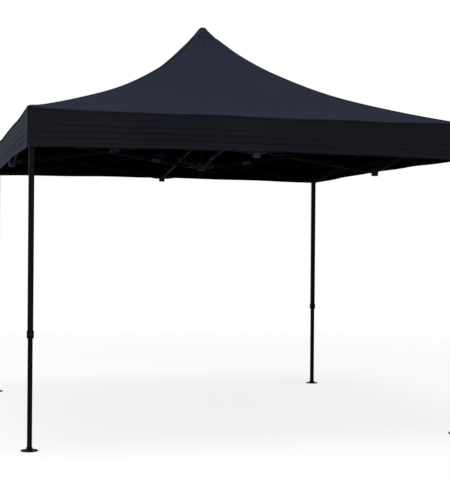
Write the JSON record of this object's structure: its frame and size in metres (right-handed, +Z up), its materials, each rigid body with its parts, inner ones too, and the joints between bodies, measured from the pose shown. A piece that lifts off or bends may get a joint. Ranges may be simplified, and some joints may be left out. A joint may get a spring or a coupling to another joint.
{
  "type": "pop up gazebo",
  "caption": "Square pop up gazebo: dark cloth canopy with a tall peaked roof and a deep valance on a folding scissor frame with telescopic legs.",
  "frame": {"origin": "on the ground under the middle of the canopy", "axes": "+Z up, -Y towards the front side of the picture, +X to the right"},
  "size_m": [3.05, 3.05, 3.007],
  "materials": {
    "canopy_cloth": "woven coated polyester, dark slate",
    "frame_steel": "black powder coat",
    "leg_steel": "black powder coat, dark plastic ends",
    "connector_plastic": "dark grey-blue, moulded, fine grain",
    "lock_button_plastic": "moulded"
  },
  "bodies": {
    "crown": {"crown_hub": "connector_plastic", "canopy_roof": "canopy_cloth", "canopy_valance": "canopy_cloth"},
    "front_crown_bar": {"front_bar_to_crown_hub": "frame_steel"},
    "front_hub_bar": {"front_bar_to_lower_hub": "frame_steel"},
    "front_lower_middle": {"front_lower_middle_connector": "connector_plastic"},
    "front_upper_middle": {"front_upper_middle_connector": "connector_plastic"},
    "lower_hub": {"lower_hub": "connector_plastic"},
    "front_left_top_bar": {"front_left_bar_to_leg_top": "frame_steel"},
    "front_left_slider_bar": {"front_left_bar_to_slider": "frame_steel"},
    "front_left_leg": {"front_left_outer_leg": "leg_steel"},
    "front_left_slider": {"front_left_slider": "connector_plastic"},
    "front_right_top_bar": {"front_right_bar_to_leg_top": "frame_steel"},
    "front_right_slider_bar": {"front_right_bar_to_slider": "frame_steel"},
    "front_right_leg": {"front_right_outer_leg": "leg_steel"},
    "front_right_slider": {"front_right_slider": "connector_plastic"},
    "right_crown_bar": {"right_bar_to_crown_hub": "frame_steel"},
    "right_hub_bar": {"right_bar_to_lower_hub": "frame_steel"},
    "right_lower_middle": {"right_lower_middle_connector": "connector_plastic"},
    "right_upper_middle": {"right_upper_middle_connector": "connector_plastic"},
    "right_left_top_bar": {"right_left_bar_to_leg_top": "frame_steel"},
    "right_left_slider_bar": {"right_left_bar_to_slider": "frame_steel"},
    "right_right_top_bar": {"right_right_bar_to_leg_top": "frame_steel"},
    "right_right_slider_bar": {"right_right_bar_to_slider": "frame_steel"},
    "back_crown_bar": {"back_bar_to_crown_hub": "frame_steel"},
    "back_hub_bar": {"back_bar_to_lower_hub": "frame_steel"},
    "back_lower_middle": {"back_lower_middle_connector": "connector_plastic"},
    "back_upper_middle": {"back_upper_middle_connector": "connector_plastic"},
    "back_left_top_bar": {"back_left_bar_to_leg_top": "frame_steel"},
    "back_left_slider_bar": {"back_left_bar_to_slider": "frame_steel"},
    "back_right_leg": {"back_right_outer_leg": "leg_steel"},
    "back_right_slider": {"back_right_slider": "connector_plastic"},
    "back_right_top_bar": {"back_right_bar_to_leg_top": "frame_steel"},
    "back_right_slider_bar": {"back_right_bar_to_slider": "frame_steel"},
    "back_left_leg": {"back_left_outer_leg": "leg_steel"},
    "back_left_slider": {"back_left_slider": "connector_plastic"},
    "left_crown_bar": {"left_bar_to_crown_hub": "frame_steel"},
    "left_hub_bar": {"left_bar_to_lower_hub": "frame_steel"},
    "left_lower_middle": {"left_lower_middle_connector": "connector_plastic"},
    "left_upper_middle": {"left_upper_middle_connector": "connector_plastic"},
    "left_left_top_bar": {"left_left_bar_to_leg_top": "frame_steel"},
    "left_left_slider_bar": {"left_left_bar_to_slider": "frame_steel"},
    "left_right_top_bar": {"left_right_bar_to_leg_top": "frame_steel"},
    "left_right_slider_bar": {"left_right_bar_to_slider": "frame_steel"},
    "peak": {"peak_pole": "frame_steel", "peak_cap": "connector_plastic"},
    "front_left_inner_leg": {"front_left_inner_leg_and_foot": "frame_steel"},
    "front_left_leg_button": {"front_left_leg_lock_button": "lock_button_plastic"},
    "front_left_slider_button": {"front_left_slider_lock_button": "lock_button_plastic"},
    "front_right_inner_leg": {"front_right_inner_leg_and_foot": "frame_steel"},
    "front_right_leg_button": {"front_right_leg_lock_button": "lock_button_plastic"},
    "front_right_slider_button": {"front_right_slider_lock_button": "lock_button_plastic"},
    "back_right_inner_leg": {"back_right_inner_leg_and_foot": "frame_steel"},
    "back_right_leg_button": {"back_right_leg_lock_button": "lock_button_plastic"},
    "back_right_slider_button": {"back_right_slider_lock_button": "lock_button_plastic"},
    "back_left_inner_leg": {"back_left_inner_leg_and_foot": "frame_steel"},
    "back_left_leg_button": {"back_left_leg_lock_button": "lock_button_plastic"},
    "back_left_slider_button": {"back_left_slider_lock_button": "lock_button_plastic"}
  },
  "joints": [
    {"name": "fold", "type": "hinge", "parent": "crown", "child": "front_crown_bar", "pos_m": [0, -0.085, 2.115], "axis": [1, 0, 0], "range_deg": [0, 78.4], "deforming": ["canopy_roof", "canopy_valance"]},
    {"name": "front_hub_bar_turn", "type": "hinge", "parent": "front_crown_bar", "child": "front_hub_bar", "pos_m": [0, -0.75, 2.015], "axis": [-1, 0, 0], "range_deg": [0, 156.8]},
    {"name": "front_lower_middle_level", "type": "hinge", "parent": "front_crown_bar", "child": "front_lower_middle", "pos_m": [0, -1.415, 1.915], "axis": [-1, 0, 0], "range_deg": [0, 78.4]},
    {"name": "front_upper_middle_level", "type": "hinge", "parent": "front_hub_bar", "child": "front_upper_middle", "pos_m": [0, -1.415, 2.115], "axis": [1, 0, 0], "range_deg": [0, 78.4]},
    {"name": "lower_hub_level", "type": "hinge", "parent": "front_hub_bar", "child": "lower_hub", "pos_m": [0, -0.085, 1.915], "axis": [1, 0, 0], "range_deg": [0, 78.4]},
    {"name": "front_left_top_bar_turn", "type": "hinge", "parent": "front_lower_middle", "child": "front_left_top_bar", "pos_m": [-0.055, -1.47, 1.915], "axis": [0, 1, 0], "range_deg": [0, 78.4]},
    {"name": "front_left_slider_bar_turn", "type": "hinge", "parent": "front_left_top_bar", "child": "front_left_slider_bar", "pos_m": [-0.72, -1.47, 2.015], "axis": [0, -1, 0], "range_deg": [0, 156.8]},
    {"name": "front_left_leg_upright", "type": "hinge", "parent": "front_left_top_bar", "child": "front_left_leg", "pos_m": [-1.385, -1.47, 2.115], "axis": [0, -1, 0], "range_deg": [0, 78.4]},
    {"name": "front_left_slider_upright", "type": "hinge", "parent": "front_left_slider_bar", "child": "front_left_slider", "pos_m": [-1.385, -1.47, 1.915], "axis": [0, 1, 0], "range_deg": [0, 78.4]},
    {"name": "front_right_top_bar_turn", "type": "hinge", "parent": "front_lower_middle", "child": "front_right_top_bar", "pos_m": [0.055, -1.47, 1.915], "axis": [0, -1, 0], "range_deg": [0, 78.4]},
    {"name": "front_right_slider_bar_turn", "type": "hinge", "parent": "front_right_top_bar", "child": "front_right_slider_bar", "pos_m": [0.72, -1.47, 2.015], "axis": [0, 1, 0], "range_deg": [0, 156.8]},
    {"name": "front_right_leg_upright", "type": "hinge", "parent": "front_right_top_bar", "child": "front_right_leg", "pos_m": [1.385, -1.47, 2.115], "axis": [0, 1, 0], "range_deg": [0, 78.4]},
    {"name": "front_right_slider_upright", "type": "hinge", "parent": "front_right_slider_bar", "child": "front_right_slider", "pos_m": [1.385, -1.47, 1.915], "axis": [0, -1, 0], "range_deg": [0, 78.4]},
    {"name": "right_crown_bar_turn", "type": "hinge", "parent": "crown", "child": "right_crown_bar", "pos_m": [0.085, 0, 2.115], "axis": [0, 1, 0], "range_deg": [0, 78.4]},
    {"name": "right_hub_bar_turn", "type": "hinge", "parent": "right_crown_bar", "child": "right_hub_bar", "pos_m": [0.75, 0, 2.015], "axis": [0, -1, 0], "range_deg": [0, 156.8]},
    {"name": "right_lower_middle_level", "type": "hinge", "parent": "right_crown_bar", "child": "right_lower_middle", "pos_m": [1.415, 0, 1.915], "axis": [0, -1, 0], "range_deg": [0, 78.4]},
    {"name": "right_upper_middle_level", "type": "hinge", "parent": "right_hub_bar", "child": "right_upper_middle", "pos_m": [1.415, 0, 2.115], "axis": [0, 1, 0], "range_deg": [0, 78.4]},
    {"name": "right_left_top_bar_turn", "type": "hinge", "parent": "right_lower_middle", "child": "right_left_top_bar", "pos_m": [1.47, -0.055, 1.915], "axis": [-1, 0, 0], "range_deg": [0, 78.4]},
    {"name": "right_left_slider_bar_turn", "type": "hinge", "parent": "right_left_top_bar", "child": "right_left_slider_bar", "pos_m": [1.47, -0.72, 2.015], "axis": [1, 0, 0], "range_deg": [0, 156.8]},
    {"name": "right_right_top_bar_turn", "type": "hinge", "parent": "right_lower_middle", "child": "right_right_top_bar", "pos_m": [1.47, 0.055, 1.915], "axis": [1, 0, 0], "range_deg": [0, 78.4]},
    {"name": "right_right_slider_bar_turn", "type": "hinge", "parent": "right_right_top_bar", "child": "right_right_slider_bar", "pos_m": [1.47, 0.72, 2.015], "axis": [-1, 0, 0], "range_deg": [0, 156.8]},
    {"name": "back_crown_bar_turn", "type": "hinge", "parent": "crown", "child": "back_crown_bar", "pos_m": [0, 0.085, 2.115], "axis": [-1, 0, 0], "range_deg": [0, 78.4]},
    {"name": "back_hub_bar_turn", "type": "hinge", "parent": "back_crown_bar", "child": "back_hub_bar", "pos_m": [0, 0.75, 2.015], "axis": [1, 0, 0], "range_deg": [0, 156.8]},
    {"name": "back_lower_middle_level", "type": "hinge", "parent": "back_crown_bar", "child": "back_lower_middle", "pos_m": [0, 1.415, 1.915], "axis": [1, 0, 0], "range_deg": [0, 78.4]},
    {"name": "back_upper_middle_level", "type": "hinge", "parent": "back_hub_bar", "child": "back_upper_middle", "pos_m": [0, 1.415, 2.115], "axis": [-1, 0, 0], "range_deg": [0, 78.4]},
    {"name": "back_left_top_bar_turn", "type": "hinge", "parent": "back_lower_middle", "child": "back_left_top_bar", "pos_m": [0.055, 1.47, 1.915], "axis": [0, -1, 0], "range_deg": [0, 78.4]},
    {"name": "back_left_slider_bar_turn", "type": "hinge", "parent": "back_left_top_bar", "child": "back_left_slider_bar", "pos_m": [0.72, 1.47, 2.015], "axis": [0, 1, 0], "range_deg": [0, 156.8]},
    {"name": "back_right_leg_upright", "type": "hinge", "parent": "back_left_top_bar", "child": "back_right_leg", "pos_m": [1.385, 1.47, 2.115], "axis": [0, 1, 0], "range_deg": [0, 78.4]},
    {"name": "back_right_slider_upright", "type": "hinge", "parent": "back_left_slider_bar", "child": "back_right_slider", "pos_m": [1.385, 1.47, 1.915], "axis": [0, -1, 0], "range_deg": [0, 78.4]},
    {"name": "back_right_top_bar_turn", "type": "hinge", "parent": "back_lower_middle", "child": "back_right_top_bar", "pos_m": [-0.055, 1.47, 1.915], "axis": [0, 1, 0], "range_deg": [0, 78.4]},
    {"name": "back_right_slider_bar_turn", "type": "hinge", "parent": "back_right_top_bar", "child": "back_right_slider_bar", "pos_m": [-0.72, 1.47, 2.015], "axis": [0, -1, 0], "range_deg": [0, 156.8]},
    {"name": "back_left_leg_upright", "type": "hinge", "parent": "back_right_top_bar", "child": "back_left_leg", "pos_m": [-1.385, 1.47, 2.115], "axis": [0, -1, 0], "range_deg": [0, 78.4]},
    {"name": "back_left_slider_upright", "type": "hinge", "parent": "back_right_slider_bar", "child": "back_left_slider", "pos_m": [-1.385, 1.47, 1.915], "axis": [0, 1, 0], "range_deg": [0, 78.4]},
    {"name": "left_crown_bar_turn", "type": "hinge", "parent": "crown", "child": "left_crown_bar", "pos_m": [-0.085, 0, 2.115], "axis": [0, -1, 0], "range_deg": [0, 78.4]},
    {"name": "left_hub_bar_turn", "type": "hinge", "parent": "left_crown_bar", "child": "left_hub_bar", "pos_m": [-0.75, 0, 2.015], "axis": [0, 1, 0], "range_deg": [0, 156.8]},
    {"name": "left_lower_middle_level", "type": "hinge", "parent": "left_crown_bar", "child": "left_lower_middle", "pos_m": [-1.415, 0, 1.915], "axis": [0, 1, 0], "range_deg": [0, 78.4]},
    {"name": "left_upper_middle_level", "type": "hinge", "parent": "left_hub_bar", "child": "left_upper_middle", "pos_m": [-1.415, 0, 2.115], "axis": [0, -1, 0], "range_deg": [0, 78.4]},
    {"name": "left_left_top_bar_turn", "type": "hinge", "parent": "left_lower_middle", "child": "left_left_top_bar", "pos_m": [-1.47, 0.055, 1.915], "axis": [1, 0, 0], "range_deg": [0, 78.4]},
    {"name": "left_left_slider_bar_turn", "type": "hinge", "parent": "left_left_top_bar", "child": "left_left_slider_bar", "pos_m": [-1.47, 0.72, 2.015], "axis": [-1, 0, 0], "range_deg": [0, 156.8]},
    {"name": "left_right_top_bar_turn", "type": "hinge", "parent": "left_lower_middle", "child": "left_right_top_bar", "pos_m": [-1.47, -0.055, 1.915], "axis": [-1, 0, 0], "range_deg": [0, 78.4]},
    {"name": "left_right_slider_bar_turn", "type": "hinge", "parent": "left_right_top_bar", "child": "left_right_slider_bar", "pos_m": [-1.47, -0.72, 2.015], "axis": [1, 0, 0], "range_deg": [0, 156.8]},
    {"name": "peak_pole_slide", "type": "slide", "parent": "crown", "child": "peak", "axis": [0, 0, 1], "range_m": [-0.783, 0]},
    {"name": "front_left_leg_height", "type": "slide", "parent": "front_left_leg", "child": "front_left_inner_leg", "axis": [0, 0, 1], "range_m": [-0.1, 0.6], "stiffness_N_per_m": 60000},
    {"name": "front_left_leg_lock", "type": "slide", "parent": "front_left_leg", "child": "front_left_leg_button", "axis": [0, -1, 0], "range_m": [0, 0.005]},
    {"name": "front_left_slider_lock", "type": "slide", "parent": "front_left_slider", "child": "front_left_slider_button", "axis": [0, -1, 0], "range_m": [0, 0.005]},
    {"name": "front_right_leg_height", "type": "slide", "parent": "front_right_leg", "child": "front_right_inner_leg", "axis": [0, 0, 1], "range_m": [-0.1, 0.6], "stiffness_N_per_m": 60000},
    {"name": "front_right_leg_lock", "type": "slide", "parent": "front_right_leg", "child": "front_right_leg_button", "axis": [1, 0, 0], "range_m": [0, 0.005]},
    {"name": "front_right_slider_lock", "type": "slide", "parent": "front_right_slider", "child": "front_right_slider_button", "axis": [1, 0, 0], "range_m": [0, 0.005]},
    {"name": "back_right_leg_height", "type": "slide", "parent": "back_right_leg", "child": "back_right_inner_leg", "axis": [0, 0, 1], "range_m": [-0.1, 0.6], "stiffness_N_per_m": 60000},
    {"name": "back_right_leg_lock", "type": "slide", "parent": "back_right_leg", "child": "back_right_leg_button", "axis": [0, 1, 0], "range_m": [0, 0.005]},
    {"name": "back_right_slider_lock", "type": "slide", "parent": "back_right_slider", "child": "back_right_slider_button", "axis": [0, 1, 0], "range_m": [0, 0.005]},
    {"name": "back_left_leg_height", "type": "slide", "parent": "back_left_leg", "child": "back_left_inner_leg", "axis": [0, 0, 1], "range_m": [-0.1, 0.6], "stiffness_N_per_m": 60000},
    {"name": "back_left_leg_lock", "type": "slide", "parent": "back_left_leg", "child": "back_left_leg_button", "axis": [-1, 0, 0], "range_m": [0, 0.005]},
    {"name": "back_left_slider_lock", "type": "slide", "parent": "back_left_slider", "child": "back_left_slider_button", "axis": [-1, 0, 0], "range_m": [0, 0.005]}
  ],
  "couplings": [
    {"joint": "front_hub_bar_turn", "follows": "fold", "ratio": 2},
    {"joint": "front_lower_middle_level", "follows": "fold", "ratio": 1},
    {"joint": "front_upper_middle_level", "follows": "fold", "ratio": 1},
    {"joint": "lower_hub_level", "follows": "fold", "ratio": 1},
    {"joint": "front_left_top_bar_turn", "follows": "fold", "ratio": 1},
    {"joint": "front_left_slider_bar_turn", "follows": "fold", "ratio": 2},
    {"joint": "front_left_leg_upright", "follows": "fold", "ratio": 1},
    {"joint": "front_left_slider_upright", "follows": "fold", "ratio": 1},
    {"joint": "front_right_top_bar_turn", "follows": "fold", "ratio": 1},
    {"joint": "front_right_slider_bar_turn", "follows": "fold", "ratio": 2},
    {"joint": "front_right_leg_upright", "follows": "fold", "ratio": 1},
    {"joint": "front_right_slider_upright", "follows": "fold", "ratio": 1},
    {"joint": "right_crown_bar_turn", "follows": "fold", "ratio": 1},
    {"joint": "right_hub_bar_turn", "follows": "fold", "ratio": 2},
    {"joint": "right_lower_middle_level", "follows": "fold", "ratio": 1},
    {"joint": "right_upper_middle_level", "follows": "fold", "ratio": 1},
    {"joint": "right_left_top_bar_turn", "follows": "fold", "ratio": 1},
    {"joint": "right_left_slider_bar_turn", "follows": "fold", "ratio": 2},
    {"joint": "right_right_top_bar_turn", "follows": "fold", "ratio": 1},
    {"joint": "right_right_slider_bar_turn", "follows": "fold", "ratio": 2},
    {"joint": "back_crown_bar_turn", "follows": "fold", "ratio": 1},
    {"joint": "back_hub_bar_turn", "follows": "fold", "ratio": 2},
    {"joint": "back_lower_middle_level", "follows": "fold", "ratio": 1},
    {"joint": "back_upper_middle_level", "follows": "fold", "ratio": 1},
    {"joint": "back_left_top_bar_turn", "follows": "fold", "ratio": 1},
    {"joint": "back_left_slider_bar_turn", "follows": "fold", "ratio": 2},
    {"joint": "back_right_leg_upright", "follows": "fold", "ratio": 1},
    {"joint": "back_right_slider_upright", "follows": "fold", "ratio": 1},
    {"joint": "back_right_top_bar_turn", "follows": "fold", "ratio": 1},
    {"joint": "back_right_slider_bar_turn", "follows": "fold", "ratio": 2},
    {"joint": "back_left_leg_upright", "follows": "fold", "ratio": 1},
    {"joint": "back_left_slider_upright", "follows": "fold", "ratio": 1},
    {"joint": "left_crown_bar_turn", "follows": "fold", "ratio": 1},
    {"joint": "left_hub_bar_turn", "follows": "fold", "ratio": 2},
    {"joint": "left_lower_middle_level", "follows": "fold", "ratio": 1},
    {"joint": "left_upper_middle_level", "follows": "fold", "ratio": 1},
    {"joint": "left_left_top_bar_turn", "follows": "fold", "ratio": 1},
    {"joint": "left_left_slider_bar_turn", "follows": "fold", "ratio": 2},
    {"joint": "left_right_top_bar_turn", "follows": "fold", "ratio": 1},
    {"joint": "left_right_slider_bar_turn", "follows": "fold", "ratio": 2},
    {"joint": "peak_pole_slide", "follows": "fold", "m_per_rad": -0.57223}
  ]
}
